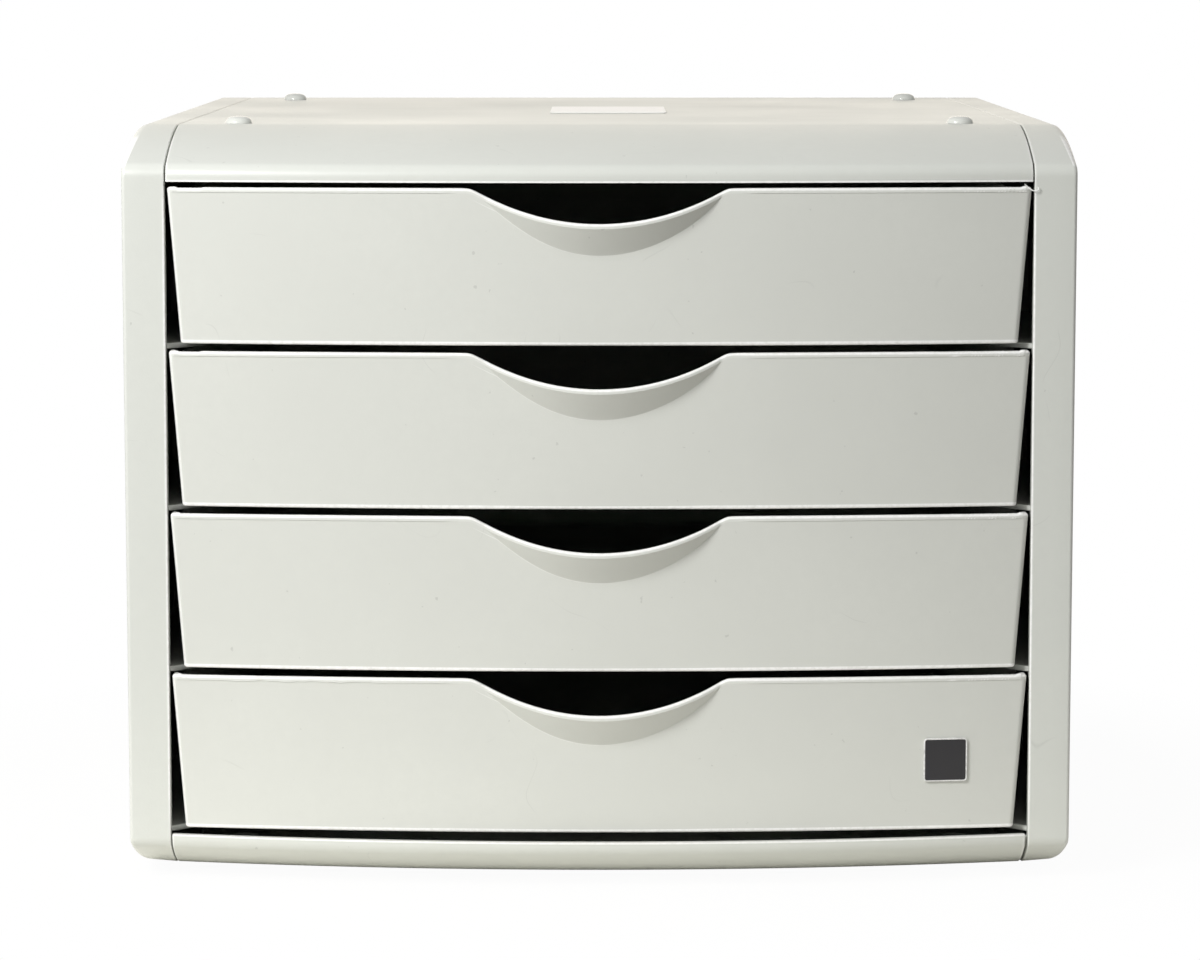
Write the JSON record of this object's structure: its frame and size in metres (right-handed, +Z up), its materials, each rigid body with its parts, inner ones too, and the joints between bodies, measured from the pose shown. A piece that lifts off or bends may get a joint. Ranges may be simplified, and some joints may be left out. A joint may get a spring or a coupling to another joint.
{
  "type": "desktop file drawer",
  "caption": "Desktop letter tray box in light grey moulded plastic, with sliding drawers that have a flared finger scoop, a swept nose and stacking studs.",
  "frame": {"origin": "on the table, under the middle of the whole object, finger lips included", "axes": "+X to the right as seen from the front, +Y to the rear, +Z up; the drawers open along -Y"},
  "size_m": [0.292, 0.3712, 0.2347],
  "materials": {
    "light_grey_plastic": "fine moulded texture, satin",
    "drawer_plastic": "fine moulded texture, satin",
    "stud_plastic": "smooth, glossy",
    "foot_rubber": "matte",
    "label_paper": "coated paper",
    "badge_plastic": "smooth, pale rim"
  },
  "bodies": {
    "housing": {"top_cover": "light_grey_plastic", "base_panel": "light_grey_plastic", "back_panel": "light_grey_plastic", "left_side_panel": "light_grey_plastic", "right_side_panel": "light_grey_plastic", "stacking_stud_front_left": "stud_plastic", "stacking_stud_front_right": "stud_plastic", "stacking_stud_rear_left": "stud_plastic", "stacking_stud_rear_right": "stud_plastic", "rubber_foot_front_left": "foot_rubber", "rubber_foot_front_right": "foot_rubber", "rubber_foot_rear_left": "foot_rubber", "rubber_foot_rear_right": "foot_rubber", "top_label": "label_paper"},
    "drawer_1": {"drawer_1": "drawer_plastic"},
    "drawer_2": {"drawer_2": "drawer_plastic"},
    "drawer_3": {"drawer_3": "drawer_plastic"},
    "drawer_4": {"drawer_4": "drawer_plastic", "badge_plate": "badge_plastic"}
  },
  "joints": [
    {"name": "drawer_1_slide", "type": "slide", "parent": "housing", "child": "drawer_1", "axis": [0, -1, 0], "range_m": [0, 0.26]},
    {"name": "drawer_2_slide", "type": "slide", "parent": "housing", "child": "drawer_2", "axis": [0, -1, 0], "range_m": [0, 0.26]},
    {"name": "drawer_3_slide", "type": "slide", "parent": "housing", "child": "drawer_3", "axis": [0, -1, 0], "range_m": [0, 0.26]},
    {"name": "drawer_4_slide", "type": "slide", "parent": "housing", "child": "drawer_4", "axis": [0, -1, 0], "range_m": [0, 0.26]}
  ]
}
